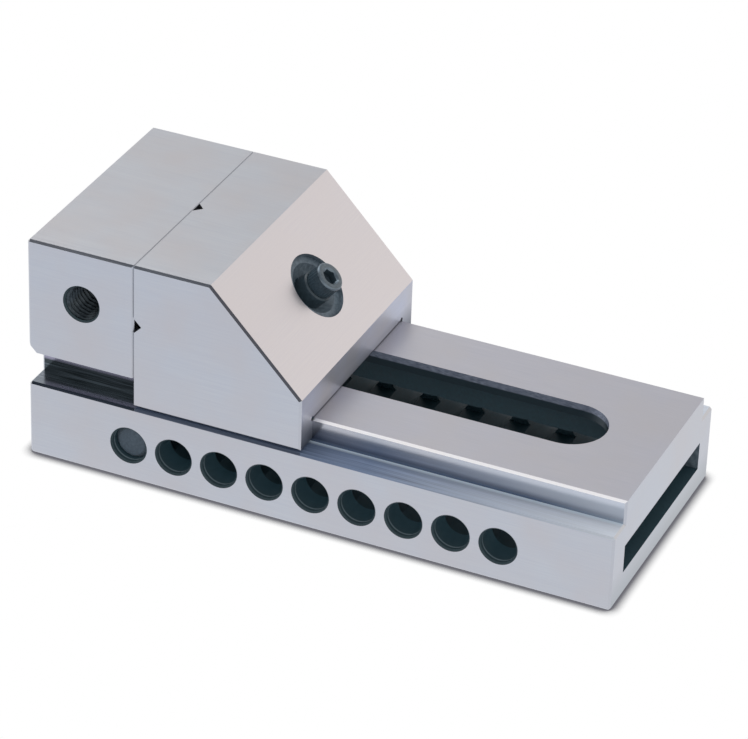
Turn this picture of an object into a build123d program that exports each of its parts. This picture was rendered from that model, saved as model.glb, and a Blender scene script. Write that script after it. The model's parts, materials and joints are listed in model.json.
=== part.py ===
from build123d import *
import math
import os

# Toolmakers vise in millimetres. X runs from the fixed jaw's end to the open end, Z up from the underside.
# Y is 0 on the middle plane. The finished pieces are moved so that X is 0 half way along the body.

# Body: base, rail and fixed jaw in one block
body_length = 170.0
body_width = 73.0
jaw_top = 66.5              # tops of both jaws above the underside
base_height = 22.5          # underside to the clamping ledges
rail_height = 29.4          # underside to the rail's top
rail_inset = 7.5            # how far the rail and the fixed jaw's neck stand in from the sides
groove_top = 32.1           # underside of the fixed jaw's overhang
fixed_jaw_length = 31.6
heel_chamfer = 2.4          # lower corner of the fixed jaw's end
edge_break = 0.6            # small chamfer along ground edges
face_break = 0.2            # along the top and sides of the gripping faces

# Openings in the body
slot_width = 21.0           # slot in the rail's top
slot_start_gap = 1.0        # fixed jaw's face to the slot's hidden end
slot_end = 153.0            # open end of the slot, from the fixed jaw's end
lip_thickness = 4.0         # rail left over the hollow, where the keeper bears
hollow_width = 35.0         # hollow milled from below
hollow_end = 157.0
hollow_corner = 5.0
window_width = 56.2         # flat channel that comes out at the open end
window_bottom = 7.1
window_top = 15.4

# Row of cross holes and the pin
hole_count = 9
hole_pitch = 13.5
first_hole_x = 30.15
hole_height = 10.6
hole_mouth_chamfer = 0.5
pin_diameter = 10.0
pin_end_chamfer = 1.1
pin_recess = 2.0            # pin end below each side face
running_gap = 0.05          # radial gap of everything that turns in a bore

# Tapped holes for a work stop, one in each side of the fixed jaw
stop_hole_radius = 5.0
stop_hole_depth = 15.0
stop_hole_x = 16.1
stop_hole_height = 50.8
stop_hole_chamfer = 0.5
drill_point = 118.0         # whole angle at the end of a drilled hole

# Moving jaw
jaw_length = 49.3
jaw_flat_length = 22.4      # flat top, before the slope
jaw_back_height = 38.6      # upper edge of the back face above the underside
skirt_gap = 0.8             # skirts above the ledges
slide_gap = 0.03            # jaw to rail, each face
relief_radius = 0.7         # groove in the jaw's inner corners
vee_width = 4.7
vee_height = 48.4           # level of the groove that lies along Y
recess_along = 20.4         # slope's upper edge to the recess's middle
recess_diameter = 19.0
recess_depth = 1.5
swing_slot_gap = 0.6        # screw to the walls of its slot, each side

# Tongue and keeper
tongue_gap = 0.3            # tongue to slot, each side and at the round end
tongue_root = 0.5           # how deep the tongue runs into the jaw above it
fork_gap = 0.75             # swivel nut to the fork of tongue and keeper, each side
fork_corner = 2.0
tongue_length = 14.5
keeper_thickness = 7.5
keeper_side_gap = 0.3
keeper_lip_gap = 0.1
keeper_arm = 7.0            # keeper's arms ahead of the tongue
keeper_bridge = 8.8         # solid part of tongue and keeper, behind the fork
keeper_screw_spread = 5.7   # screws to the middle plane
keeper_screw_setback = 5.0  # screws to the tongue's round end
keeper_screw_length = 12.0
keeper_thread = 3.0
keeper_tip_chamfer = 0.4
keeper_head = 5.5
keeper_head_height = 3.0
keeper_head_chamfer = 0.3
keeper_head_sink = 0.2      # heads below the keeper's underside
keeper_socket = 2.5
keeper_socket_depth = 1.5
keeper_screw_gap = 0.2      # screws and heads to their holes, radial
tapping_depth = 1.5         # tapped holes beyond the screws' tips

# Clamp screw, spherical washer and swivel nut
screw_thread = 5.0
screw_tip_chamfer = 0.6
screw_head = 8.5
screw_head_height = 5.0
screw_head_chamfer = 0.6
screw_socket = 4.0
screw_socket_depth = 2.5
tip_gap = 1.7               # screw's tip to the pin, jaws closed
thread_gap = 0.3            # screw in the nut's thread, radial
washer_diameter = 9.4
washer_sphere = 9.0         # radius of the washer's round underside
washer_thickness = 6.0
washer_bore_gap = 0.2
washer_chamfer = 0.4
swing_centre_height = 3.6   # sphere's centre above the slope
nut_width = 12.0            # along the pin
nut_eye_radius = 8.5
nut_neck = 11.0
nut_least_thread = 4.0      # thread still held at the end of the travel
nut_end_chamfer = 1.2

# Travel: the pin moves by whole holes and the screw covers one pitch
pin_steps = 6
travel = (pin_steps + 1) * hole_pitch
end_clearance = 0.4         # tongue to the slot's end, fully open
keeper_end_gap = 1.2        # keeper to the hollow's end, fully open
nut_end_gap = 1.2           # nut's eye to the hollow's closed end
cut_over = 1.0              # how far a cutter runs past the face it opens
tolerance = 0.01            # for finding edges by their place

# Places that follow from the sizes
half_width = body_width / 2
rail_half = half_width - rail_inset
lip_bottom = rail_height - lip_thickness
jaw_face = fixed_jaw_length
slope_top = (jaw_face + jaw_flat_length, jaw_top)
slope_bottom = (jaw_face + jaw_length, jaw_back_height)
slope_run = slope_bottom[0] - slope_top[0]
slope_drop = slope_top[1] - slope_bottom[1]
slope_size = math.hypot(slope_run, slope_drop)
down_slope = (slope_run / slope_size, -slope_drop / slope_size)
off_slope = (slope_drop / slope_size, slope_run / slope_size)
recess_centre = (slope_top[0] + recess_along * down_slope[0], slope_top[1] + recess_along * down_slope[1])
swing_centre = (recess_centre[0] + swing_centre_height * off_slope[0],
                recess_centre[1] + swing_centre_height * off_slope[1])
reach_x = swing_centre[0] - first_hole_x
reach_z = swing_centre[1] - hole_height
screw_angle = math.degrees(math.atan2(reach_z, reach_x))
open_angle = math.degrees(math.atan2(reach_z, reach_x + hole_pitch))
closed_reach = math.hypot(reach_x, reach_z)
open_reach = math.hypot(reach_x + hole_pitch, reach_z)
head_seat = washer_sphere - washer_thickness
pin_radius = pin_diameter / 2
screw_length = closed_reach - head_seat - pin_radius - tip_gap
nut_reach = open_reach - head_seat - screw_length + nut_least_thread
tongue_end = slot_end - travel - end_clearance
tongue_start = tongue_end - tongue_length
fork_width = nut_width + 2 * fork_gap
fork_end = tongue_end - keeper_bridge
keeper_top = lip_bottom - keeper_lip_gap
keeper_end = hollow_end - travel - keeper_end_gap
hollow_start = first_hole_x - nut_eye_radius - nut_end_gap
keeper_bottom = keeper_top - keeper_thickness
keeper_seat = keeper_bottom + keeper_head_sink + keeper_head_height
keeper_screw_top = keeper_seat + keeper_screw_length
keeper_screw_x = tongue_end - keeper_screw_setback


def side_plane(y):
    """XZ plane at the given Y, looking along +Y."""
    return Plane(origin=(0, y, 0), x_dir=(1, 0, 0), z_dir=(0, -1, 0))


def level(z):
    """XY plane at the given height."""
    return Plane.XY.offset(z)


def across(profile, width):
    """Extrudes a profile of the middle XZ plane evenly to both sides."""
    return extrude(profile, width / 2, both=True)


def bore_along_y(x, z, radius, length, chamfer_size):
    """Cutter for a hole along Y through the middle plane, with chamfered mouths at both ends."""
    profile = Polyline(
        (0, -length / 2), (radius + chamfer_size, -length / 2), (radius, chamfer_size - length / 2),
        (radius, length / 2 - chamfer_size), (radius + chamfer_size, length / 2), (0, length / 2), close=True)
    return Pos(x, 0, z) * revolve(make_face(profile), Axis.Y)


def blind_hole_profile(radius, depth, chamfer_size):
    """Half section of a drilled hole whose mouth is at the origin and whose depth runs to +Y."""
    point = radius / math.tan(math.radians(drill_point / 2))
    return make_face(Polyline(
        (0, 0), (radius + chamfer_size, 0), (radius, chamfer_size), (radius, depth), (0, depth + point),
        close=True))


def screw_frame(distance):
    """Plane across the clamp screw at a distance below the swing centre, its Z towards the head."""
    turn = math.radians(screw_angle)
    x, z = screw_point(screw_angle, distance)
    return Plane(origin=(x, 0, z), x_dir=(0, 1, 0), z_dir=(math.cos(turn), 0, math.sin(turn)))


def slope_frame(height):
    """Plane along the jaw's slope, at a height above it over the recess, its X down the slope."""
    x = recess_centre[0] + height * off_slope[0]
    z = recess_centre[1] + height * off_slope[1]
    return Plane(origin=(x, 0, z), x_dir=(down_slope[0], 0, down_slope[1]),
                 z_dir=(off_slope[0], 0, off_slope[1]))


def socket_screw(thread, length, tip, head, head_height, head_chamfer, socket, socket_depth):
    """Socket head screw on Z: its head's seat at 0, the head above and the shank below."""
    profile = Polyline(
        (0, -length), (thread / 2 - tip, -length), (thread / 2, tip - length), (thread / 2, 0), (head / 2, 0),
        (head / 2, head_height - head_chamfer), (head / 2 - head_chamfer, head_height), (0, head_height),
        close=True)
    screw = revolve(make_face(Plane.XZ * profile), Axis.Z)
    hexagon = RegularPolygon(socket / 2, 6, major_radius=False)
    return screw - extrude(level(head_height) * hexagon, -socket_depth)


def make_body():
    # Base and rail share one section along the whole length
    section = make_face(Polyline(
        (-half_width, 0), (half_width, 0), (half_width, base_height), (rail_half, base_height),
        (rail_half, rail_height), (-rail_half, rail_height), (-rail_half, base_height),
        (-half_width, base_height), close=True))
    body = extrude(Plane.YZ * section, body_length)
    # Fixed jaw stands on a neck as wide as the rail, which leaves a clamping groove on each side
    jaw_section = make_face(Polyline(
        (-rail_half, base_height), (rail_half, base_height),
        (rail_half, groove_top), (half_width, groove_top),
        (half_width, jaw_top), (-half_width, jaw_top), (-half_width, groove_top), (-rail_half, groove_top),
        close=True))
    body += extrude(Plane.YZ * jaw_section, fixed_jaw_length)
    heel = [e for e in body.edges().filter_by(Axis.Y)
            if near(e.center().X, 0) and near(e.center().Z, groove_top)]
    body = chamfer(heel, heel_chamfer)
    outer = [e for e in body.edges() if is_ground_edge(e)]
    body = chamfer(outer, edge_break)
    body = chamfer([e for e in body.edges() if is_face_edge(e)], face_break)
    # Slot in the rail, with a round end under each end of the travel
    slot_start = fixed_jaw_length + slot_start_gap
    slot = Pos((slot_start + slot_end) / 2, 0) * SlotOverall(slot_end - slot_start, slot_width)
    body -= extrude(level(lip_bottom) * slot, lip_thickness + cut_over)
    # Hollow milled from below, up to the lips that the keeper bears on
    hollow = RectangleRounded(hollow_end - hollow_start, hollow_width, hollow_corner)
    body -= extrude(Pos((hollow_start + hollow_end) / 2, 0) * hollow, lip_bottom)
    # Flat channel for the pin, open at the end face
    window = make_face(Polyline(
        (hollow_start, window_bottom), (body_length, window_bottom), (body_length, window_top),
        (hollow_start, window_top), close=True))
    body -= across(side_plane(0) * window, window_width)
    for number in range(hole_count):
        x = first_hole_x + number * hole_pitch
        body -= bore_along_y(x, hole_height, pin_radius + running_gap, body_width, hole_mouth_chamfer)
    stop_hole = revolve(blind_hole_profile(stop_hole_radius, stop_hole_depth, stop_hole_chamfer), Axis.Y)
    for turn in (0, 180):
        body -= Pos(stop_hole_x, 0, stop_hole_height) * Rot(0, 0, turn) * Pos(0, -half_width, 0) * stop_hole
    return body


def near(value, place):
    return abs(value - place) < tolerance


def is_ground_edge(edge):
    """True for the body's outside edges that are broken by hand after grinding."""
    centre = edge.center()
    size = edge.bounding_box().size
    at_side = near(abs(centre.Y), half_width) and size.Y < tolerance
    at_end = (near(centre.X, 0) or near(centre.X, body_length)) and size.X < tolerance
    rail_edge = near(abs(centre.Y), rail_half) and near(centre.Z, rail_height)
    if rail_edge and size.X > rail_inset:
        return True
    if abs(centre.Z - groove_top) < heel_chamfer + tolerance:
        return False
    if abs(centre.Y) < rail_half and tolerance < centre.Z < jaw_top - tolerance:
        return False
    return at_side or at_end


def is_face_edge(edge):
    """True for the top and side edges of either gripping face."""
    centre = edge.center()
    in_face = near(centre.X, jaw_face) and edge.bounding_box().size.X < tolerance
    at_rim = abs(centre.Y) > half_width - edge_break or centre.Z > jaw_top - edge_break
    return in_face and at_rim


def make_moving_jaw():
    # Side outline with its sloping back, full width
    skirt_bottom = base_height + skirt_gap
    outline = make_face(Polyline(
        (jaw_face, skirt_bottom), (jaw_face, jaw_top), slope_top, slope_bottom,
        (slope_bottom[0], skirt_bottom), close=True))
    jaw = across(side_plane(0) * outline, body_width)
    # Outside edges of both side faces are broken, except along the gripping face
    side_edges = [e for e in jaw.edges()
                  if near(abs(e.center().Y), half_width) and e.center().X > jaw_face + tolerance]
    jaw = chamfer(side_edges, edge_break)
    jaw = chamfer([e for e in jaw.edges() if is_face_edge(e)], face_break)
    # Channel that straddles the rail, with a relief groove in each corner
    channel_half = rail_half + slide_gap
    channel_top = rail_height + slide_gap
    past_both = jaw_length + 2 * cut_over
    channel = Pos(jaw_face + jaw_length / 2, 0) * Rectangle(past_both, 2 * channel_half)
    jaw -= extrude(level(skirt_bottom - cut_over) * channel, channel_top - skirt_bottom + cut_over)
    relief = Plane.YZ * Circle(relief_radius)
    for side in (-1, 1):
        jaw -= Pos(jaw_face - cut_over, side * channel_half, channel_top) * extrude(relief, past_both)
    # Tongue in the rail's slot, round behind like the slot's end and forked for the swivel nut
    tongue_radius = slot_width / 2 - tongue_gap
    straight = tongue_length - tongue_radius
    tongue = Pos(tongue_start + straight / 2, 0) * Rectangle(straight, 2 * tongue_radius)
    tongue += Pos(tongue_end - tongue_radius, 0) * Circle(tongue_radius)
    tongue -= fork(tongue_start - tongue_radius)
    jaw += extrude(level(keeper_top) * tongue, channel_top - keeper_top + tongue_root)
    # Vee grooves for round work in the gripping face
    vee = Polyline((-tolerance, -vee_width / 2), (vee_width / 2, 0), (-tolerance, vee_width / 2), close=True)
    lying_vee = Pos(jaw_face, vee_height) * make_face(vee)
    jaw -= across(side_plane(0) * lying_vee, body_width + 2 * cut_over)
    standing_vee = Pos(jaw_face, 0) * make_face(vee)
    jaw -= extrude(level(channel_top - cut_over) * standing_vee, jaw_top - channel_top + 2 * cut_over)
    # Recess in the slope, with a ball seat below its floor
    jaw -= extrude(slope_frame(-recess_depth) * Circle(recess_diameter / 2), 2 * recess_depth)
    ball = Pos(swing_centre[0], 0, swing_centre[1]) * Sphere(washer_sphere + running_gap)
    below_floor = extrude(slope_frame(-recess_depth) * Rectangle(4 * washer_sphere, 4 * washer_sphere),
                          -2 * washer_sphere)
    jaw -= ball & below_floor
    # Slot that lets the screw swing, wider towards the rail
    jaw -= swing_slot()
    for side in (-1, 1):
        place = Pos(keeper_screw_x, side * keeper_screw_spread, keeper_top - cut_over)
        depth = keeper_screw_top - keeper_top + tapping_depth + cut_over
        jaw -= place * extrude(Circle(keeper_thread / 2 + running_gap), depth)
    return jaw


def fork(start):
    """Plan of the gap for the swivel nut in tongue and keeper, from an open start to the bridge."""
    length = fork_end - start
    corners = RectangleRounded(2 * length, fork_width, fork_corner)
    return Pos(fork_end - length, 0) * corners


def swing_slot():
    """Cutter for the screw's shank at both ends of its swing and everywhere between."""
    width = screw_thread + 2 * swing_slot_gap
    tips = [screw_point(angle, closed_reach) for angle in (screw_angle, open_angle)]
    cutter = across(side_plane(0) * make_face(Polyline(swing_centre, *tips, close=True)), width)
    for angle in (screw_angle, open_angle):
        middle = screw_point(angle, closed_reach / 2)
        cutter += Pos(middle[0], 0, middle[1]) * Rot(0, 90 - angle, 0) * Cylinder(width / 2, closed_reach)
    return cutter


def screw_point(angle, distance):
    """Point of the middle plane at a distance below the swing centre, on a screw that stands at an angle."""
    turn = math.radians(angle)
    return (swing_centre[0] - distance * math.cos(turn), swing_centre[1] - distance * math.sin(turn))


def make_keeper():
    start = tongue_start - keeper_arm
    width = hollow_width - 2 * keeper_side_gap
    plan = Pos((start + keeper_end) / 2, 0) * RectangleRounded(keeper_end - start, width, hollow_corner)
    keeper = extrude(level(keeper_bottom) * (plan - fork(start - fork_width)), keeper_thickness)
    underside = keeper.faces().sort_by(Axis.Z)[0]
    keeper = chamfer(underside.outer_wire().edges(), edge_break)
    for side in (-1, 1):
        place = Pos(keeper_screw_x, side * keeper_screw_spread, keeper_bottom - cut_over)
        shank_hole = Circle(keeper_thread / 2 + keeper_screw_gap)
        keeper -= place * extrude(shank_hole, keeper_thickness + 2 * cut_over)
        head_hole = Circle(keeper_head / 2 + keeper_screw_gap)
        keeper -= place * extrude(head_hole, keeper_seat - keeper_bottom + cut_over)
    return keeper


def make_keeper_screw(side):
    screw = socket_screw(keeper_thread, keeper_screw_length, keeper_tip_chamfer, keeper_head,
                         keeper_head_height, keeper_head_chamfer, keeper_socket, keeper_socket_depth)
    return Pos(keeper_screw_x, side * keeper_screw_spread, keeper_seat) * Rot(180, 0, 0) * screw


def make_clamp_screw():
    screw = socket_screw(screw_thread, screw_length, screw_tip_chamfer, screw_head, screw_head_height,
                         screw_head_chamfer, screw_socket, screw_socket_depth)
    return screw_frame(head_seat).location * screw


def make_washer():
    # Half section about the screw's axis, with the swing centre at the origin
    bore = screw_thread / 2 + washer_bore_gap
    rim = washer_diameter / 2
    rim_height = -math.sqrt(washer_sphere ** 2 - rim ** 2)
    bore_height = -math.sqrt(washer_sphere ** 2 - bore ** 2)
    middle = (bore + rim) / 2
    middle_height = -math.sqrt(washer_sphere ** 2 - middle ** 2)
    round_side = ThreePointArc((bore, bore_height), (middle, middle_height), (rim, rim_height))
    sides = Polyline((rim, rim_height), (rim, -head_seat - washer_chamfer),
                     (rim - washer_chamfer, -head_seat), (bore, -head_seat), (bore, bore_height))
    washer = revolve(make_face(Plane.XZ * (round_side + sides)), Axis.Z)
    return screw_frame(0).location * washer


def make_swivel_nut():
    # Eye round the pin and a neck along the screw, cut from one bar
    eye = Circle(nut_eye_radius)
    neck = Pos(nut_reach / 2, 0) * Rectangle(nut_reach, nut_neck)
    profile = Rot(0, 0, screw_angle) * (eye + neck)
    nut = across(side_plane(0) * Pos(first_hole_x, hole_height) * profile, nut_width)
    along_screw = Axis((first_hole_x, 0, hole_height), tuple(screw_frame(0).z_dir))
    end_face = nut.faces().sort_by(along_screw)[-1]
    nut = chamfer(end_face.outer_wire().edges(), nut_end_chamfer)
    pin_place = Pos(first_hole_x, 0, hole_height) * Rot(90, 0, 0)
    nut -= pin_place * Cylinder(pin_radius + running_gap, 2 * nut_width)
    thread = extrude(screw_frame(closed_reach) * Circle(screw_thread / 2 + thread_gap), 2 * nut_reach)
    return nut - thread


def make_pin():
    length = body_width - 2 * pin_recess
    pin = Pos(first_hole_x, 0, hole_height) * Rot(90, 0, 0) * Cylinder(pin_radius, length)
    rims = [e for e in pin.edges() if e.geom_type == GeomType.CIRCLE]
    return chamfer(rims, pin_end_chamfer)


pieces = {
    "body": make_body(),
    "moving_jaw": make_moving_jaw(),
    "keeper_plate": make_keeper(),
    "keeper_screw_front": make_keeper_screw(-1),
    "keeper_screw_rear": make_keeper_screw(1),
    "clamp_screw": make_clamp_screw(),
    "spherical_washer": make_washer(),
    "swivel_nut": make_swivel_nut(),
    "cross_pin": make_pin(),
}

os.makedirs("parts", exist_ok=True)
for name, piece in pieces.items():
    placed = Pos(-body_length / 2, 0, 0) * piece
    export_step(placed, f"parts/{name}.step")
    box = placed.bounding_box()
    print(name, "volume", round(placed.volume, 1), "box", [round(v, 2) for v in (*box.min, *box.max)])
print("screw length", round(screw_length, 2), "angles", round(screw_angle, 3), round(open_angle, 3))
print("pin", first_hole_x - body_length / 2, hole_height, "swing centre",
      round(swing_centre[0] - body_length / 2, 3), round(swing_centre[1], 3))
print("nut reach", round(nut_reach, 2), "tongue", round(tongue_start, 2), round(tongue_end, 2))
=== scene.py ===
import json
import math
import bpy
import numpy as np
from mathutils import Matrix, Vector


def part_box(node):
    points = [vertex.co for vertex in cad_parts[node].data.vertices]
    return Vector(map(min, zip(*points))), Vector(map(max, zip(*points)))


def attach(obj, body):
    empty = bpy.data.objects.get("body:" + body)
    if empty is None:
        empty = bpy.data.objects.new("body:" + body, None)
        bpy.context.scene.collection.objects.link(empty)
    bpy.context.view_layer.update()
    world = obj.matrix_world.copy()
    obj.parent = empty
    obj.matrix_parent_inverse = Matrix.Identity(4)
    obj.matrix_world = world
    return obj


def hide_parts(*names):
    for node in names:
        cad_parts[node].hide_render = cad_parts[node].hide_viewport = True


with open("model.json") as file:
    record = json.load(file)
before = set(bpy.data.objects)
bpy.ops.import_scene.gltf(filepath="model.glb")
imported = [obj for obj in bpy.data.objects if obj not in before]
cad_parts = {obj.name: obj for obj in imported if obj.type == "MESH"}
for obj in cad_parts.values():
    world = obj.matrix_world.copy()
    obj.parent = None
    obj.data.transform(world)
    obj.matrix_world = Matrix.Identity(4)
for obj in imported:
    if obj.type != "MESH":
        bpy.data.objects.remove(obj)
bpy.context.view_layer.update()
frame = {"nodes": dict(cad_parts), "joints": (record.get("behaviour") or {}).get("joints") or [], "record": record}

mm = 0.001
sharpAngle = math.radians(32)
print("frame loaded:", len(frame["nodes"]), "nodes")


# sRGB hex to linear RGBA: c / 12.92 where dark, and ((c + 0.055) / 1.055) ^ 2.4 above
def hexColour(text):
    srgb = [int(text[i:i + 2], 16) / 255 for i in (1, 3, 5)]
    return (*[c / 12.92 if c <= 0.04045 else ((c + 0.055) / 1.055) ** 2.4 for c in srgb], 1)


# Adds a shader node with its settings and links, and gives back its outputs. A link is another node's output
# or a plain value. It goes to the input of that name, or of the number after an i.
def addNode(tree, kind, settings=None, **links):
    node = tree.nodes.new("ShaderNode" + kind)
    for key, value in (settings or {}).items():
        setattr(node, key, value)
    for key, value in links.items():
        socket = node.inputs[int(key[1:]) if key[0] == "i" and key[1:].isdigit() else key.replace("_", " ")]
        if isinstance(value, bpy.types.NodeSocket):
            tree.links.new(value, socket)
        else:
            socket.default_value = value
    return node.outputs


colours = {"data_type": "RGBA"}  # a Mix node of colours: inputs 0, 6 and 7, output 2


# An empty node material, and its tree
def newMaterial(name):
    material = bpy.data.materials.new(name)
    material.use_nodes = True
    material.node_tree.nodes.clear()
    return material, material.node_tree


# Lays a look's layers over its tone, and over roughness and metallic where a layer gives them. A layer's part
# is its share times its ramps. A ramp names a measure (x, y, z, or side for the distance from the middle
# plane) and the mm where it starts and where it is full. It starts from 0, or from a third number.
def layOver(tree, place, look, lines, tone, roughness, metallic):
    if not look["layers"]:
        return tone, roughness, metallic
    x, y, z = addNode(tree, "SeparateXYZ", i0=place)
    measures = {"x": x, "y": y, "z": z, "side": addNode(tree, "Math", {"operation": "ABSOLUTE"}, i0=y)[0]}
    for layer in look["layers"]:
        share = layer.get("share", 1.0)
        for measure, start, full, *least in layer["ramps"]:
            ramp = addNode(tree, "MapRange", i0=measures[measure], i1=start * mm, i2=full * mm,
                           i3=least[0] if least else 0.0)[0]
            share = addNode(tree, "Math", {"operation": "MULTIPLY"}, i0=share, i1=ramp)[0]
        colour = hexColour(layer["colour"])
        if "streak" in layer:
            low, high = layer["streakRange"]
            between = addNode(tree, "MapRange", i0=lines, i1=low, i2=high)[0]
            colour = addNode(tree, "Mix", colours, i0=between, i6=hexColour(layer["streak"]), i7=colour)[2]
        tone = addNode(tree, "Mix", colours, i0=share, i6=tone, i7=colour)[2]
        if "roughness" in layer:
            roughness = addNode(tree, "Mix", i0=share, i2=roughness, i3=layer["roughness"])[0]
        if "metallic" in layer:
            metallic = addNode(tree, "Mix", i0=share, i2=metallic, i3=layer["metallic"])[0]
    return tone, roughness, metallic


# Surface-ground tool steel: pale satin grey with fine parallel grinding lines and faint clouds.
# The real lines are 0.05 mm apart, drawn 0.3 mm apart so that they show.
groundSteel = {
    "light": "#ced0d3", "shade": "#c8cacf", "warm": "#cdc9c9", "metallic": 1.0,
    "roughness": 0.31, "roughnessSpread": 0.03,
    "lineWidth": 0.30, "lineLength": 14.0, "facing": 0.5, "cloud": 16.0, "cloudShare": 0.7, "detail": 3.0,
    "lineHeight": 0.008, "bump": 0.20, "layers": [],
    "lineRange": (0.3, 0.7), "cloudRange": (0.35, 0.7), "roughnessRange": (0.25, 0.75),
}
# The rail's top is worn by the jaw that slides on it: a little duller and warmer
railSteel = {**groundSteel, "light": "#cfcdd2", "shade": "#c8c7cd", "warm": "#cdc9ca", "roughness": 0.34}
# Its sides are finer ground, so what stands beside them shows in them
sideSteel = {
    **groundSteel, "light": "#bbbec4", "shade": "#b3b7bd", "roughness": 0.17, "roughnessSpread": 0.02,
    "bump": 0.10,
    "layers": [
        # Lighter towards the open end: painted light
        {"colour": "#d6dbe2", "share": 0.8, "ramps": [("x", -4.0, 85.0)]},
        # Painted shade in the corner above the ledges, less of it towards the open end
        {"colour": "#68748a", "ramps": [("z", 25.0, 22.8), ("x", 85.0, 60.0, 0.4)]},
        # Beside the fixed jaw's neck: painted shade with oil streaks, lighter near the top
        {"colour": "#6a7377", "streak": "#353c3e", "streakRange": (0.35, 0.65), "roughness": 0.17,
         "ramps": [("x", -53.1, -53.4)]},
        {"colour": "#a29eae", "ramps": [("x", -53.1, -53.4), ("z", 25.8, 26.6)]},
    ]}
# The slope was ground across; it is painted paler and warmer than the other ground faces, as painted light where
# it faces the light
slopeSteel = {**groundSteel, "light": "#e4dedd", "shade": "#dfd9da", "warm": "#e2dbda", "bump": 0.12}
# The ledges were only milled: bluish grey with long cutter marks, as far apart as a quick feed leaves them
milledLedge = {
    **groundSteel, "light": "#8698b7", "shade": "#4d5c75", "warm": "#6b7c98", "metallic": 0.15,
    "roughness": 0.36, "roughnessSpread": 0.10,
    "lineWidth": 0.55, "lineLength": 40.0, "cloud": 14.0, "cloudShare": 0.5,
    "lineHeight": 0.020, "bump": 0.65,
    "layers": [
        # Lighter towards the open end: painted light
        {"colour": "#f0f5fb", "share": 0.68, "ramps": [("x", 14.0, 85.0)]},
        # Painted highlight: a bright line in the corner below the rail
        {"colour": "#e2f2ff", "share": 0.95, "ramps": [("side", 30.5, 29.3)]},
        # Outer edge darker where the jaw stands on it
        {"colour": "#34363c", "share": 0.55, "ramps": [("x", -4.18, -4.22), ("side", 35.88, 35.92)]},
        # Oil in the grooves beside the fixed jaw's neck
        {"colour": "#b4babf", "streak": "#868c92", "streakRange": (0.35, 0.65), "roughness": 0.17,
         "metallic": 1.0, "ramps": [("x", -53.1, -53.4)]},
    ]}
# The slot's walls: milled bright near the top with short marks; painted shade darkens them further down
slotSteel = {
    **groundSteel, "light": "#a3acbf", "shade": "#666f82", "warm": "#7c8598", "metallic": 0.3,
    "roughness": 0.40, "lineWidth": 0.4, "lineLength": 1.6, "cloud": 3.0,
    "layers": [{"colour": "#1f333c", "ramps": [("z", 27.7, 27.3)]}]}
# The rail's upper edges were rounded with a stone; their near-white tone is a painted highlight. The turn scales
# the normal so that the narrow bevel shines as a rounded edge does, from its lower side.
stonedEdgeHighlight = {**groundSteel, "light": "#fafbfd", "shade": "#eef0f4", "warm": "#f8f6f6", "roughness": 0.30,
              "turn": (1.0, 1.3, 0.6)}
# The slope's side edges were broken with a file and have stayed dull; their dark tone is a painted dark reflection
paintedDarkEdge = {**groundSteel, "light": "#66686f", "shade": "#5a5c63", "warm": "#605f64", "roughness": 0.4}
# The edges at the jaws' gap are broken too, and painted a little darker as painted shade in the gap
gapEdge = {**groundSteel, "light": "#b4b6bb", "shade": "#a9abb0", "warm": "#aeadb1", "roughness": 0.4}
# The jaw's end face sees little but the rail, and is duller than the rest; its bluish tone is a painted reflection
endSteel = {
    **groundSteel, "light": "#d0d4e3", "shade": "#c8ccdd", "metallic": 0.6, "roughness": 0.42,
    "layers": [
        # Painted shade in its lowest corners, and along its foot on the rail
        {"colour": "#454e59", "ramps": [("z", 32.5, 22.0)]},
        {"colour": "#4c4e5a", "ramps": [("z", 29.85, 29.60), ("side", 29.01, 28.99)]},
    ]}
# The base's end is greyer towards the bench: a painted reflection of the shadow on the floor
baseEndSteel = {**groundSteel, "layers": [{"colour": "#b2b6b6", "ramps": [("z", 10.0, 0.0)]}]}


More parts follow.
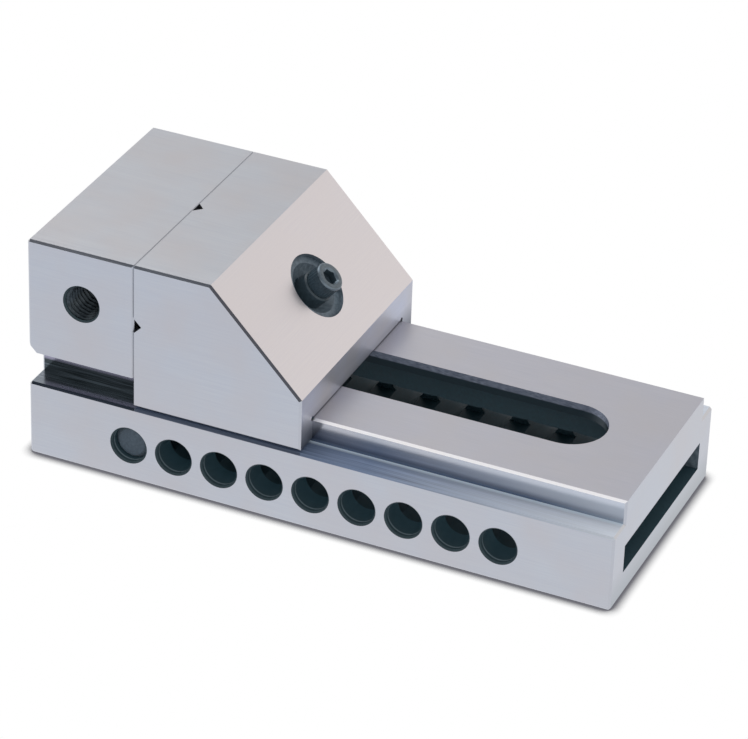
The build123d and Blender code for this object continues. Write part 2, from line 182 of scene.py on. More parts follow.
# Noise stretched into lines gives the tone between shade and light, the roughness and the height. The lines
# run along X, or along Y where the normal's X is over facing, which is on the end faces and the slope. Clouds
# of the warm tone and the look's layers lie over them.
def brightSteelMaterial(name, look):
    material, tree = newMaterial(name)
    coordinates = addNode(tree, "TexCoord")
    place = coordinates["Object"]
    width, length = look["lineWidth"], look["lineLength"]
    scaled = [addNode(tree, "Mapping", Vector=place, Scale=[1 / (s * mm) for s in size])[0]
              for size in ((length, width, width), (width, length, width), [look["cloud"]] * 3)]
    alongX, alongY, cloud = [addNode(tree, "TexNoise", Vector=vector, Scale=1.0, Detail=look["detail"])[0]
                             for vector in scaled]
    facing = addNode(tree, "SeparateXYZ", i0=coordinates["Normal"])[0]
    facing = addNode(tree, "Math", {"operation": "ABSOLUTE"}, i0=facing)[0]
    facesX = addNode(tree, "Math", {"operation": "GREATER_THAN"}, i0=facing, i1=look["facing"])[0]
    lines = addNode(tree, "Mix", i0=facesX, i2=alongX, i3=alongY)[0]
    low, high = look["lineRange"]
    share = addNode(tree, "MapRange", i0=lines, i1=low, i2=high)[0]
    light, shade, warm = (hexColour(look[key]) for key in ("light", "shade", "warm"))
    tone = addNode(tree, "Mix", colours, i0=share, i6=shade, i7=light)[2]
    low, high = look["cloudRange"]
    share = addNode(tree, "MapRange", i0=cloud, i1=low, i2=high, i4=look["cloudShare"])[0]
    tone = addNode(tree, "Mix", colours, i0=share, i6=tone, i7=warm)[2]
    low, high = look["roughnessRange"]
    roughness = addNode(tree, "MapRange", i0=lines, i1=low, i2=high,
                        i3=look["roughness"] - look["roughnessSpread"],
                        i4=look["roughness"] + look["roughnessSpread"])[0]
    tone, roughness, metallic = layOver(tree, place, look, lines, tone, roughness, look["metallic"])
    normal = addNode(tree, "Bump", Strength=look["bump"], Distance=look["lineHeight"] * mm, Height=lines)[0]
    if "turn" in look:
        turned = addNode(tree, "VectorMath", {"operation": "MULTIPLY"}, i0=normal, i1=look["turn"])[0]
        normal = addNode(tree, "VectorMath", {"operation": "NORMALIZE"}, i0=turned)[0]
    shader = addNode(tree, "BsdfPrincipled", Base_Color=tone, Metallic=metallic, Roughness=roughness,
                     Normal=normal)
    addNode(tree, "OutputMaterial", Surface=shader[0])
    return material


# What the dark finishes share: a fine grain and faint clouds, with a little height. The real grain is about
# 0.1 mm, drawn 0.6 to 1.6 mm so that it shows.
darkSteel = {"metallic": 0.0, "grainDetail": 4.0, "grainRoughness": 0.6, "grainRange": (0.35, 0.75),
             "stretch": (1, 1, 1), "cloud": 5.0, "cloudRange": (0.4, 0.7), "cloudShare": 0.5,
             "cloudDetail": 2.0, "roughnessRange": (0.3, 0.7), "smoother": 0.06, "rougher": 0.08,
             "height": 0.02, "bump": 0.3, "layers": []}
# Scale of the heat treatment, left wherever no grinding wheel reached: slate, matt and dark
furnaceScale = {
    **darkSteel, "deep": "#25414b", "worn": "#33515c", "roughness": 0.66, "grain": 0.9,
    "layers": [
        # The front wall's holes: darkest at the mouth, lighter further in, painted light that evens out the shade
        # inside them
        {"colour": "#2f4046", "share": 0.9, "ramps": [("y", -28.2, -28.6)]},
        {"colour": "#4b7484", "share": 0.9, "ramps": [("y", -28.2, -28.6), ("y", -36.5, -28.2)]},
        # Fine light ring inside each mouth: a painted highlight
        {"colour": "#8b9ba4", "ramps": [("side", 34.64, 35.0), ("side", 35.36, 35.0)]},
    ]}
# The recess round the screw: the same scale, rubbed lighter by the washer and by fingers. The window's end walls
# take it too, lighter as painted light
rubbedAndLitScale = {**darkSteel, "deep": "#55646f", "worn": "#84939f", "roughness": 0.46, "grain": 1.1}
# Black-oxided alloy steel: near black, slightly green, satin, and rubbed grey on the head's end face
blackOxide = {**darkSteel, "deep": "#31404a", "worn": "#475862", "roughness": 0.36, "grain": 0.6}
rubbedOxide = {**darkSteel, "deep": "#4c575e", "worn": "#68747c", "roughness": 0.34, "grain": 0.7}
# The round edge of the head is worn through to bare steel, and glints
bareEdge = {**darkSteel, "deep": "#6f7b83", "worn": "#8b979f", "metallic": 1.0, "roughness": 0.40,
            "grain": 0.7}
# Steel darkened by furnace and oil: the hardened washer, the nut and keeper with their cutter marks along Y,
# and the threads of the stop holes
furnaceGrey = {**darkSteel, "deep": "#2c3a42", "worn": "#42525b", "roughness": 0.42, "grain": 1.2}
milledGrey = {**darkSteel, "deep": "#4a5257", "worn": "#6f777b", "metallic": 1.0, "roughness": 0.42,
              "grain": 1.6, "stretch": (1, 12, 1)}
tappedGrey = {**darkSteel, "deep": "#343b3f", "worn": "#596166", "metallic": 1.0, "roughness": 0.36,
              "grain": 1.0}
# Hardened dowel pin: slate grey, brighter on the chamfers
dowelSteel = {**darkSteel, "deep": "#394a57", "worn": "#556675", "roughness": 0.38, "grain": 0.8}
dowelChamfer = {**darkSteel, "deep": "#6d7a86", "worn": "#8996a2", "roughness": 0.34, "grain": 0.8}


# Noise of the grain's size gives the tone between deep and worn, the roughness and the height. Clouds of the
# deep tone and the look's layers lie over it.
def darkSteelMaterial(name, look):
    material, tree = newMaterial(name)
    place = addNode(tree, "TexCoord")["Object"]
    grainSize = [look["grain"] * times for times in look["stretch"]]
    grainPlace, cloudPlace = [addNode(tree, "Mapping", Vector=place, Scale=[1 / (s * mm) for s in size])[0]
                              for size in (grainSize, [look["cloud"]] * 3)]
    grain = addNode(tree, "TexNoise", Vector=grainPlace, Scale=1.0, Detail=look["grainDetail"],
                    Roughness=look["grainRoughness"])[0]
    cloud = addNode(tree, "TexNoise", Vector=cloudPlace, Scale=1.0, Detail=look["cloudDetail"])[0]
    deep, worn = hexColour(look["deep"]), hexColour(look["worn"])
    low, high = look["grainRange"]
    share = addNode(tree, "MapRange", i0=grain, i1=low, i2=high)[0]
    tone = addNode(tree, "Mix", colours, i0=share, i6=deep, i7=worn)[2]
    low, high = look["cloudRange"]
    share = addNode(tree, "MapRange", i0=cloud, i1=low, i2=high, i4=look["cloudShare"])[0]
    tone = addNode(tree, "Mix", colours, i0=share, i6=tone, i7=deep)[2]
    low, high = look["roughnessRange"]
    roughness = addNode(tree, "MapRange", i0=grain, i1=low, i2=high, i3=look["roughness"] - look["smoother"],
                        i4=look["roughness"] + look["rougher"])[0]
    tone, roughness, metallic = layOver(tree, place, look, grain, tone, roughness, look["metallic"])
    normal = addNode(tree, "Bump", Strength=look["bump"], Distance=look["height"] * mm, Height=grain)[0]
    shader = addNode(tree, "BsdfPrincipled", Base_Color=tone, Metallic=metallic, Roughness=roughness,
                     Normal=normal)
    addNode(tree, "OutputMaterial", Surface=shader[0])
    return material


# Centres in mm and unit normals of a mesh's faces
def facesOf(mesh):
    centres, normals = np.empty(len(mesh.polygons) * 3), np.empty(len(mesh.polygons) * 3)
    mesh.polygons.foreach_get("center", centres)
    mesh.polygons.foreach_get("normal", normals)
    return centres.reshape(-1, 3) / mm, normals.reshape(-1, 3)


# Gives a mesh its materials. kinds(centres, normals) tells each face's material by its number
def dress(mesh, materials, kinds=None):
    mesh.materials.clear()
    for material in materials:
        mesh.materials.append(material)
    index = kinds(*facesOf(mesh)) if kinds else np.zeros(len(mesh.polygons))
    mesh.polygons.foreach_set("material_index", index.astype(np.int32))


# Distance from each point to the nearest face of a box, positive inside
def depthIn(low, high, points):
    return np.minimum(points - low, high - points).min(1)


# Levels and half widths of the vise in mm, by which its faces are known. vees is the depth of the gripping
# face's grooves, edge the most that an edge is broken, flush how near a face lies to its own level, and clear
# how far above the rail's top the jaw's hidden faces start.
vise = {"ledge": 22.5, "railTop": 29.4, "railHalf": 29.0, "grooveTop": 32.1, "slotHalf": 10.6,
        "lipBottom": 25.4, "vees": 5.0, "recess": 9.6, "seatDepth": 4.3, "slopeTop": -31.0,
        "slopeBottom": 38.6, "windowHalf": 28.1, "windowFrom": 60.0, "firstHole": -54.85, "holePitch": 13.5,
        "holeCount": 9, "holeLevel": 10.6, "mouth": 6.2, "edge": 0.7, "flush": 0.02, "clear": 0.2}
# Parts of a unit normal: a flat face's along its axis, the most of a broken edge's, half, and the least of a
# broken edge's
flat, steep, half, tilted = 0.99, 0.95, 0.5, 0.3
bodyLow, bodyHigh = np.array(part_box("body")) / mm
jawLow, jawHigh = np.array(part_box("moving_jaw")) / mm
mounts = {mount["name"]: mount for mount in frame["record"]["mounts"]}
stopPlace = np.array(mounts["stop_hole_front"]["pos_m"]) / mm
hinge = {joint["name"]: joint for joint in frame["joints"]}["screw_turn"]
swingPlace = np.array(hinge["pos_m"]) / mm


# 0 ground, 1 furnace scale, 2 milled ledge, 3 rail's side, 4 rail's top, 5 slot wall, 6 rail's edge,
# 7 edge at the jaws' gap, 8 window's end walls, 9 base's end
def bodyKinds(centres, normals):
    x, y, z = centres.T
    side, upright, level = np.abs(y), np.abs(normals[:, 1]), np.abs(normals[:, 2])
    facesUp, edge, flush = normals[:, 2] > flat, vise["edge"], vise["flush"]
    fromRail, fromLedge, fromTop = (np.abs(value - vise[name]) for value, name in
                                    ((side, "railHalf"), (z, "ledge"), (z, "railTop")))
    base = depthIn(bodyLow, (bodyHigh[0], bodyHigh[1], vise["ledge"]), centres)
    rail = depthIn((bodyLow[0], -vise["railHalf"], 0), (bodyHigh[0], vise["railHalf"], vise["railTop"]),
                   centres)
    fixed = depthIn((bodyLow[0], bodyLow[1], vise["grooveTop"]), (jawLow[0], bodyHigh[1], bodyHigh[2]),
                    centres)
    inner = np.maximum(np.maximum(base, rail), fixed) > edge
    number = np.clip(np.round((x - vise["firstHole"]) / vise["holePitch"]), 0, vise["holeCount"] - 1)
    fromHole = np.hypot(x - vise["firstHole"] - number * vise["holePitch"], z - vise["holeLevel"])
    fromStop = np.hypot(x - stopPlace[0], z - stopPlace[2])
    mouth = (np.minimum(fromHole, fromStop) < vise["mouth"]) & (upright < flat)
    mouth &= side > bodyHigh[1] - edge
    slotWall = (side < vise["slotHalf"]) & (z > vise["lipBottom"]) & (level < half)
    broken = (level > tilted) & (level < steep) & (upright > tilted) & (x > jawLow[0])
    gap = (normals[:, 0] > tilted) & (normals[:, 2] > tilted) & (x < jawLow[0] + edge)
    kinds = np.where(inner | mouth, 1, 0)
    kinds[slotWall & (x > jawLow[0]) & (x < bodyHigh[0] - edge)] = 5
    kinds[facesUp & (fromTop < flush)] = 4
    kinds[facesUp & (fromLedge < flush)] = 2
    kinds[(upright > flat) & (fromRail < flush)] = 3
    kinds[broken & (fromRail < edge)] = 6
    kinds[broken & (fromLedge < edge) & (side > bodyHigh[1] - edge)] = 2
    kinds[gap & (z > bodyHigh[2] - edge)] = 7
    # The window's end walls take the lighter rubbed scale as painted light
    kinds[(upright > flat) & (x > vise["windowFrom"]) & (np.abs(side - vise["windowHalf"]) < flush)] = 8
    kinds[(normals[:, 0] > flat) & (x > bodyHigh[0] - flush)] = 9
    return kinds


# 0 ground, 1 furnace scale, 2 slope, 3 recess, 4 end face, 5 slope's side edges, 6 edge at the jaws' gap
def jawKinds(centres, normals):
    x, y, z = centres.T
    run, drop = jawHigh[0] - vise["slopeTop"], jawHigh[2] - vise["slopeBottom"]
    slopeLength = math.hypot(run, drop)
    below = ((vise["slopeTop"] - x) * drop + (jawHigh[2] - z) * run) / slopeLength
    along = ((x - swingPlace[0]) * run - (z - swingPlace[2]) * drop) / slopeLength
    edge, flush, forward, up = vise["edge"], vise["flush"], normals[:, 0], normals[:, 2]
    inner = np.minimum(depthIn(jawLow, jawHigh, centres), below) > edge
    kinds = np.where(inner & (x > jawLow[0] + vise["vees"]) & (z > vise["railTop"] + vise["clear"]), 1, 0)
    kinds[(below < flush) & (forward > half) & (up > half)] = 2
    kinds[(below > flush) & (below < vise["seatDepth"]) & (np.hypot(along, y) < vise["recess"])] = 3
    kinds[(forward > flat) & (x > jawHigh[0] - flush)] = 4
    broken = (forward > tilted) & (up > tilted) & (np.abs(normals[:, 1]) > half)
    kinds[broken & (np.abs(y) > jawHigh[1] - edge)] = 5
    kinds[(forward < -tilted) & (up > tilted) & (z > jawHigh[2] - edge)] = 6
    return kinds


# 0 round side and ends, 1 chamfers
def pinKinds(centres, normals):
    upright = np.abs(normals[:, 1])
    return np.where((upright > tilted) & (upright < steep), 1, 0)


ground = brightSteelMaterial("ground_tool_steel", groundSteel)
scale = darkSteelMaterial("furnace_scale", furnaceScale)
wornAndLit = darkSteelMaterial("rubbed_and_lit_scale", rubbedAndLitScale)
gapSteel = brightSteelMaterial("broken_gap_edge", gapEdge)
milled = darkSteelMaterial("milled_grey_steel", milledGrey)
# In this dressing the rail's edges carry a painted highlight, the slope's side edges a painted dark reflection,
# and the window's end walls painted light
dresses = {
    "body": ([ground, scale, brightSteelMaterial("milled_ledge_steel", milledLedge),
              brightSteelMaterial("fine_ground_steel", sideSteel),
              brightSteelMaterial("worn_rail_steel", railSteel),
              brightSteelMaterial("milled_slot_steel", slotSteel),
              brightSteelMaterial("stoned_edge_painted_highlight", stonedEdgeHighlight), gapSteel, wornAndLit,
              brightSteelMaterial("ground_base_end_steel", baseEndSteel)], bodyKinds),
    "moving_jaw": ([ground, scale, brightSteelMaterial("ground_slope_steel", slopeSteel), wornAndLit,
                    brightSteelMaterial("dull_end_steel", endSteel),
                    brightSteelMaterial("painted_dark_edge", paintedDarkEdge), gapSteel], jawKinds),
    "keeper_plate": ([milled], None),
    "swivel_nut": ([milled], None),
    "spherical_washer": ([darkSteelMaterial("furnace_grey_washer", furnaceGrey)], None),
    "cross_pin": ([darkSteelMaterial("hardened_dowel", dowelSteel),
                   darkSteelMaterial("dowel_chamfer", dowelChamfer)], pinKinds),
}
for node, (materials, kinds) in dresses.items():
    dress(frame["nodes"][node].data, materials, kinds)
oxides = [darkSteelMaterial("black_oxide", blackOxide),
          darkSteelMaterial("rubbed_black_oxide", rubbedOxide),
          darkSteelMaterial("worn_through_oxide", bareEdge)]
tapped = darkSteelMaterial("tapped_steel", tappedGrey)
print("materials made")


# Matrix whose Z is the given way out and whose X is as near to Y as can be, or to X where Z is along Y
def outwardAxes(origin, out):
    z = Vector(out).normalized()
    x = Vector((0, 1, 0)) if abs(z.y) < flat else Vector((1, 0, 0))
    x = (x - x.project(z)).normalized()
    matrix = Matrix((x, z.cross(x), z)).transposed().to_4x4()
    matrix.translation = Vector(origin)
    return matrix


# Points (r cos a, r sin a, h) of rings, with r = radii[i, j], h = levels[i, j] and a = 2 pi j / n
def ringPoints(radii, levels):
    angle = np.arange(radii.shape[1]) * 2 * np.pi / radii.shape[1]
    return np.stack([radii * np.cos(angle), radii * np.sin(angle), levels], -1).reshape(-1, 3)


# Quads between neighbouring rings, and from the last to the first where closed. They face away from the axis
# where the rings rise
def ringQuads(rings, around, closed=False):
    i, j = np.meshgrid(np.arange(rings if closed else rings - 1), np.arange(around), indexing="ij")
    here, after, beside = i * around, (i + 1) % rings * around, (j + 1) % around
    return np.stack([here + j, here + beside, after + beside, after + j], -1).reshape(-1, 4)


# New smooth piece with sharp edges, from points in mm along the matrix's axes
def newPiece(name, points, faces, matrix):
    points = points * mm @ np.array(matrix.to_3x3()).T + np.array(matrix.translation)
    mesh = bpy.data.meshes.new(name)
    mesh.from_pydata(points.tolist(), [], faces)
    mesh.validate()
    mesh.shade_smooth()
    mesh.set_sharp_from_angle(angle=sharpAngle)
    piece = bpy.data.objects.new(name, mesh)
    bpy.context.scene.collection.objects.link(piece)
    return piece


# Radius at an angle of a hexagon with the given distance across flats: flats / 2 / cos(angle from mid-flat)
def hexagonRadius(angle, flats):
    return flats / 2 / np.cos(np.mod(angle, np.pi / 3) - np.pi / 6)


# Depth share of a 60 degree thread at a phase from 0 to 1: 0 on the crest, 1 in the root, even slopes between
def threadShare(phase, crest=0.125, root=0.2):
    ramp = np.abs(np.mod(phase, 1) * 2 - 1)
    return np.clip((ramp - crest) / (1 - crest - root), 0, 1)


# Rings from the tip up: thread with radius R - depth * threadShare(h / pitch - a / 2 pi), plain shank,
# knurled head with radius R - depth * |sin(ribs a / 2)| ^ power, round edge, and a hexagon socket going down
# to a drilled cone. Fans close both ends to the axis.
def socketScrew(name, look, matrix):
    around = look["around"]
    angle = np.arange(around) * 2 * np.pi / around
    radius, length, pitch = look["thread"] / 2, look["length"], look["pitch"]
    rows = int(look["threadLength"] / pitch * look["rowsPerPitch"]) + 1
    level = np.linspace(-length, -length + look["threadLength"], rows)[:, None]
    fromTip = level + length
    tip = radius - np.maximum(0, look["tipChamfer"] - fromTip)
    depth = look["threadDepth"] * pitch * np.minimum(1, (look["threadLength"] - fromTip) / pitch)
    thread = np.minimum(radius - depth * threadShare(level / pitch - angle / (2 * np.pi)), tip)
    headRadius, headHeight, chamfer = look["head"] / 2, look["headHeight"], look["headChamfer"]
    knurl = headRadius - look["knurlDepth"] * np.abs(np.sin(look["ribs"] * angle / 2)) ** look["ribPower"]
    knurlFoot, knurlTop = look["knurlFoot"], headHeight - chamfer - look["knurlGap"]
    outDepth, outLevel = look["runOut"]
    hexagon = hexagonRadius(angle, look["socket"])
    mouthGap, bottom = look["mouthGap"], headHeight - look["socketDepth"]
    mouth = look["socket"] / 2 / math.cos(math.pi / 6) + mouthGap
    profile = [
        (radius, -look["neck"]), (radius + look["neck"], 0.0),
        (headRadius - look["seatBreak"], 0.0), (headRadius - look["knurlDepth"], look["seatBreak"]),
        *[(knurl, knurlFoot + share * (knurlTop - knurlFoot)) for share in look["knurlRows"]],
        (headRadius - look["knurlDepth"] * outDepth, knurlTop + look["knurlGap"] * outLevel),
        *[(headRadius - chamfer * look["chamferWidth"] * (1 - math.cos(turn)),
           headHeight - chamfer * (1 - math.sin(turn)))
          for turn in np.linspace(0, math.pi / 2, look["edgeRows"])],
        (mouth, headHeight),
        (hexagon, headHeight - mouthGap - (mouth - mouthGap - hexagon) * look["mouthFall"]),
        (hexagon, bottom), (hexagon * look["floorShare"], bottom - look["floorFall"]),
        (look["drillTip"], bottom - look["drillDepth"]),
    ]
    radii = np.vstack([thread, *[r * np.ones(around) for r, _ in profile]])
    levels = np.vstack([level * np.ones(around), *[h * np.ones(around) for _, h in profile]])
    rings, first = len(radii), np.arange(around)
    step, last, pole = (first + 1) % around, (rings - 1) * around, np.full(around, rings * around)
    faces = [*ringQuads(rings, around).tolist(), *np.stack([step, first, pole], -1).tolist(),
             *np.stack([last + first, last + step, pole + 1], -1).tolist()]
    poles = [[0, 0, levels[0].mean()], [0, 0, levels[-1].mean()]]
    screw = newPiece(name, np.vstack([ringPoints(radii, levels), poles]), faces, matrix)
    axis = np.array(matrix.col[2])[:3]
    endFace, edgeFace = look["facing"]

    # 0 black oxide, 1 the head's end face, 2 the round edge beside it
    def headKinds(centres, normals):
        atEnd = (centres - np.array(matrix.translation) / mm) @ axis > headHeight - chamfer
        towards = normals @ axis
        return np.where(atEnd & (towards > endFace), 1, np.where(atEnd & (towards > edgeFace), 2, 0))

    dress(screw.data, oxides, headKinds)
    return screw


# M5 x 50 socket head cap screw with knurled head, in mm. threadDepth is a share of the pitch. knurlRows and
# runOut are shares of the knurl's length, depth and gap, mouthFall is the slope of the socket's mouth, and
# facing is how far a face looks along the axis: on the end face, and on the round edge.
clampScrew = {"thread": 5.0, "length": 49.96, "threadLength": 22.0, "pitch": 0.8, "rowsPerPitch": 8,
              "threadDepth": 0.61, "tipChamfer": 0.6, "neck": 0.2, "head": 8.5, "headHeight": 5.0,
              "headChamfer": 0.6, "chamferWidth": 1.15, "edgeRows": 5, "seatBreak": 0.3, "ribs": 30,
              "ribPower": 0.7, "knurlDepth": 0.14, "knurlFoot": 0.48, "knurlGap": 0.3,
              "knurlRows": (0, 0.35, 0.7, 1), "runOut": (0.2, 0.4), "socket": 4.0, "socketDepth": 2.5,
              "mouthGap": 0.35, "mouthFall": 0.5, "floorShare": 0.9, "floorFall": 0.02, "drillDepth": 0.8,
              "drillTip": 0.12, "around": 240, "facing": (0.9, 0.1)}
# M3 x 12 screws of the keeper plate
keeperScrew = {**clampScrew, "thread": 3.0, "length": 12.0, "threadLength": 11.0, "pitch": 0.5,
               "rowsPerPitch": 6, "tipChamfer": 0.4, "neck": 0.12, "head": 5.5, "headHeight": 3.0,
               "headChamfer": 0.3, "seatBreak": 0.2, "ribs": 24, "knurlDepth": 0.13, "knurlFoot": 0.32,
               "knurlGap": 0.2, "socket": 2.5, "socketDepth": 1.5, "mouthGap": 0.12, "drillDepth": 0.4,
               "around": 144}

screwOut = Vector(hinge["axis"])
swingToSeat = 3.0 * mm  # from the centre of the ball seat down to the head's seat
headSeat = Vector(hinge["pos_m"]) - swingToSeat * screwOut
clamp = socketScrew("clamp_screw_detailed", clampScrew, outwardAxes(headSeat, screwOut))
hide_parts("clamp_screw")
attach(clamp, "screw")
for end in ("front", "rear"):
    low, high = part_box("keeper_screw_" + end)
    seat = ((low.x + high.x) / 2, (low.y + high.y) / 2, low.z + keeperScrew["headHeight"] * mm)
    screw = socketScrew(f"keeper_screw_{end}_detailed", keeperScrew, outwardAxes(seat, (0, 0, -1)))
    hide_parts("keeper_screw_" + end)
    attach(screw, "jaw")
print("screws made")

# M10 thread in the stop holes, in mm: the bore is the thread's full diameter, its ridges stand in from it.
# fade is the length, in pitches, over which the ridges run out at the mouth
stopThread = {"radius": 5.0, "depth": 0.75, "pitch": 1.5, "start": 0.5, "length": 13.5, "wall": 0.04,
              "around": 96, "rowsPerPitch": 10, "fade": 0.5}


# Inner wall r = R - depth * (1 - threadShare(h / pitch - a / 2 pi)), fading out at the mouth, outer wall
# r = R + wall, ends joined. The quads are turned over, so that the inner wall faces the axis.
def threadSleeve(name, look, matrix):
    angle = np.arange(look["around"]) * 2 * np.pi / look["around"]
    rows = int(look["length"] / look["pitch"] * look["rowsPerPitch"]) + 1
    level = np.linspace(-look["start"] - look["length"], -look["start"], rows)[:, None]
    fade = np.minimum(1, (-look["start"] - level) / (look["fade"] * look["pitch"]))
    ridge = look["depth"] * (1 - threadShare(level / look["pitch"] - angle / (2 * np.pi)))
    outer = np.full((2, look["around"]), look["radius"] + look["wall"])
    radii = np.vstack([look["radius"] - fade * ridge, outer])
    levels = np.vstack([level, level[-1:], level[:1]]) * np.ones(look["around"])
    faces = ringQuads(rows + 2, look["around"], closed=True)[:, [0, 3, 2, 1]]
    return newPiece(name, ringPoints(radii, levels), faces.tolist(), matrix)


for name, side in (("stop_hole_front", -1), ("stop_hole_back", 1)):
    mouth = (mounts[name]["pos_m"][0], side * bodyHigh[1] * mm, mounts[name]["pos_m"][2])
    sleeve = threadSleeve(name + "_thread", stopThread, outwardAxes(mouth, (0, side, 0)))
    dress(sleeve.data, [tapped])
    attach(sleeve, "vise_body")
print("threads made")

# Camera at the photograph's angle: azimuth from -Y towards +X, elevation and roll in degrees, aim, distance
# and clip in metres, lens and sensor in mm
camera = {"aim": (0.0005, 0.0003, 0.0301), "distance": 1.0492, "azimuth": 23.179, "elevation": 31.019,
          "roll": 2.108, "lens": 187.28, "sensor": 36.0, "clip": (0.05, 20)}


# back = (sin a cos e, -cos a cos e, sin e), right = (cos a, sin a, 0), up = back x right, turned by the roll
def makeCamera(look):
    azimuth, elevation, roll = (math.radians(look[key]) for key in ("azimuth", "elevation", "roll"))
    back = Vector((math.sin(azimuth) * math.cos(elevation), -math.cos(azimuth) * math.cos(elevation),
                   math.sin(elevation)))
    right = Vector((math.cos(azimuth), math.sin(azimuth), 0))
    up = back.cross(right)
    turnedRight = right * math.cos(roll) + up * math.sin(roll)
    turnedUp = up * math.cos(roll) - right * math.sin(roll)
    data = bpy.data.cameras.new("camera")
    data.lens, data.sensor_width, data.sensor_fit = look["lens"], look["sensor"], "AUTO"
    data.clip_start, data.clip_end = look["clip"]
    eye = bpy.data.objects.new("camera", data)
    eye.matrix_world = Matrix((turnedRight, turnedUp, back)).transposed().to_4x4()
    eye.location = Vector(look["aim"]) + back * look["distance"]
    bpy.context.scene.collection.objects.link(eye)
    bpy.context.scene.camera = eye


makeCamera(camera)

# White floor, in metres. The camera sees it white but for a painted narrow soft shadow round the object's foot,
# and painted shade inside the channel, whose half length and half width are given. Metal sees it evenly lit,
# cooler in front and warmer behind, turning within turn of the middle. openness is the share of open sky where the
# painted shadow is full and where it ends.
floorLook = {"size": 6.0, "colour": "#e2e2e2", "white": "#ffffff", "shadow": "#6c6c73", "reach": 0.0034,
             "openness": (0.55, 0.98), "samples": 16, "channel": (0.080, 0.030), "enclosed": "#343b3d",
             "front": "#e3e9f6", "behind": "#f6f6f8", "turn": 0.25}


# Shadow = openness from full to none, mixed with the enclosed tone, a painted shade, where |x| and |y| are within
# the channel
def makeFloor(look):
    reach = look["size"] / 2
    corners = [(-reach, -reach, 0), (reach, -reach, 0), (reach, reach, 0), (-reach, reach, 0)]
    mesh = bpy.data.meshes.new("floor")
    mesh.from_pydata(corners, [], [(0, 1, 2, 3)])
    floor = bpy.data.objects.new("floor", mesh)
    bpy.context.scene.collection.objects.link(floor)
    material, tree = newMaterial("floor")
    path = addNode(tree, "LightPath")
    x, y, _ = addNode(tree, "SeparateXYZ", i0=addNode(tree, "TexCoord")["Object"])
    full, none = look["openness"]
    openness = addNode(tree, "AmbientOcclusion", {"samples": look["samples"]}, Distance=look["reach"])["AO"]
    shade = addNode(tree, "MapRange", i0=openness, i1=full, i2=none, i3=1.0, i4=0.0)[0]
    white, shadow, enclosed, front, behind = (
        hexColour(look[key]) for key in ("white", "shadow", "enclosed", "front", "behind"))
    tone = addNode(tree, "Mix", colours, i0=shade, i6=white, i7=shadow)[2]
    away = [addNode(tree, "Math", {"operation": "ABSOLUTE"}, i0=value)[0] for value in (x, y)]
    within = [addNode(tree, "Math", {"operation": "LESS_THAN"}, i0=value, i1=most)[0]
              for value, most in zip(away, look["channel"])]
    under = addNode(tree, "Math", {"operation": "MULTIPLY"}, i0=within[0], i1=within[1])[0]
    tone = addNode(tree, "Mix", colours, i0=under, i6=tone, i7=enclosed)[2]
    share = addNode(tree, "MapRange", i0=y, i1=-look["turn"], i2=look["turn"])[0]
    shine = addNode(tree, "Mix", colours, i0=share, i6=front, i7=behind)[2]
    plain = addNode(tree, "BsdfDiffuse", Color=hexColour(look["colour"]))[0]
    clean = addNode(tree, "Emission", Color=tone)[0]
    mirrored = addNode(tree, "Emission", Color=shine)[0]
    seen = addNode(tree, "MixShader", i0=path["Is Camera Ray"], i1=plain, i2=clean)[0]
    glossy = addNode(tree, "Math", {"operation": "MAXIMUM"}, i0=path["Is Glossy Ray"],
                     i1=path["Is Transmission Ray"])[0]
    addNode(tree, "OutputMaterial", Surface=addNode(tree, "MixShader", i0=glossy, i1=seen, i2=mirrored)[0])
    mesh.materials.append(material)


makeFloor(floorLook)

# Studio surroundings: white for the camera, and a plain even light on matt surfaces. Metal sees a soft tent:
# bright low down, grey higher up, and open and darker in one round place overhead in front. Levels are the
# direction's Z, and the opening's inner and outer edge are in degrees from its middle.
tent = {"plain": 0.75, "white": "#ffffff", "low": "#fffcfb", "middle": "#c2c5cb", "dark": "#38404c",
        "lowLevel": 0.30, "middleLevel": 0.52, "opening": (-0.25, -0.25, 0.93), "openingEdge": (26.0, 36.0)}


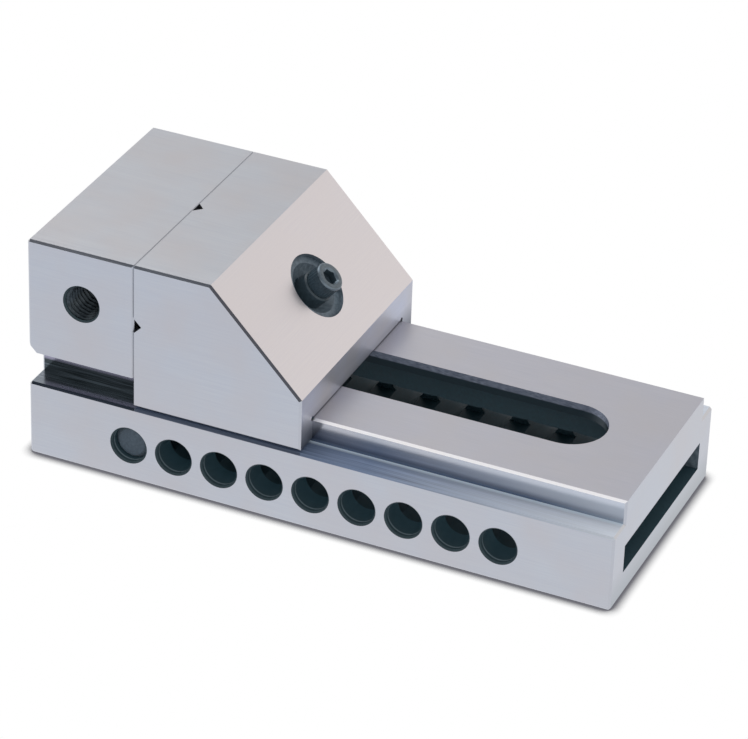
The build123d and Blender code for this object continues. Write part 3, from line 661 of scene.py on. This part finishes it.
# Tent = low to middle by the direction's Z, then dark by the cosine of its angle from the opening
def makeWorld(look):
    world = bpy.data.worlds.new("studio")
    bpy.context.scene.world = world
    world.use_nodes = True
    tree = world.node_tree
    tree.nodes.clear()
    direction = addNode(tree, "TexCoord")["Generated"]
    height = addNode(tree, "SeparateXYZ", i0=direction)[2]
    share = addNode(tree, "MapRange", i0=height, i1=look["lowLevel"], i2=look["middleLevel"])[0]
    white, low, middle, dark = (hexColour(look[key]) for key in ("white", "low", "middle", "dark"))
    colour = addNode(tree, "Mix", colours, i0=share, i6=low, i7=middle)[2]
    nearness = addNode(tree, "VectorMath", {"operation": "DOT_PRODUCT"}, i0=direction,
                       i1=Vector(look["opening"]).normalized())["Value"]
    inner, outer = (math.cos(math.radians(angle)) for angle in look["openingEdge"])
    share = addNode(tree, "MapRange", i0=nearness, i1=outer, i2=inner)[0]
    colour = addNode(tree, "Mix", colours, i0=share, i6=colour, i7=dark)[2]
    around = addNode(tree, "Background", Color=colour)[0]
    plain = addNode(tree, "Background", Color=white, Strength=look["plain"])[0]
    clean = addNode(tree, "Background", Color=white)[0]
    path = addNode(tree, "LightPath")
    lit = addNode(tree, "MixShader", i0=path["Is Diffuse Ray"], i1=around, i2=plain)[0]
    mixed = addNode(tree, "MixShader", i0=path["Is Camera Ray"], i1=lit, i2=clean)[0]
    addNode(tree, "OutputWorld", Surface=mixed)


makeWorld(tent)

# Soft box above on the left, behind: place, aim and size in metres, power in watts
keyLight = {"place": (-0.55, 0.35, 1.1), "aim": (0, 0, 0.03), "size": 0.7, "power": 4.0,
            "colour": "#ffffff"}


# A square area lamp, turned from its place towards its aim
def makeSoftBox(look):
    data = bpy.data.lights.new("key", "AREA")
    data.shape, data.size, data.size_y = "RECTANGLE", look["size"], look["size"]
    data.energy, data.color = look["power"], hexColour(look["colour"])[:3]
    lamp = bpy.data.objects.new("key", data)
    lamp.location = look["place"]
    lamp.rotation_mode = "QUATERNION"
    lamp.rotation_quaternion = (Vector(look["aim"]) - lamp.location).to_track_quat("-Z", "Y")
    bpy.context.scene.collection.objects.link(lamp)


makeSoftBox(keyLight)
print("stage made")

bpy.context.scene.view_settings.view_transform = "Standard"
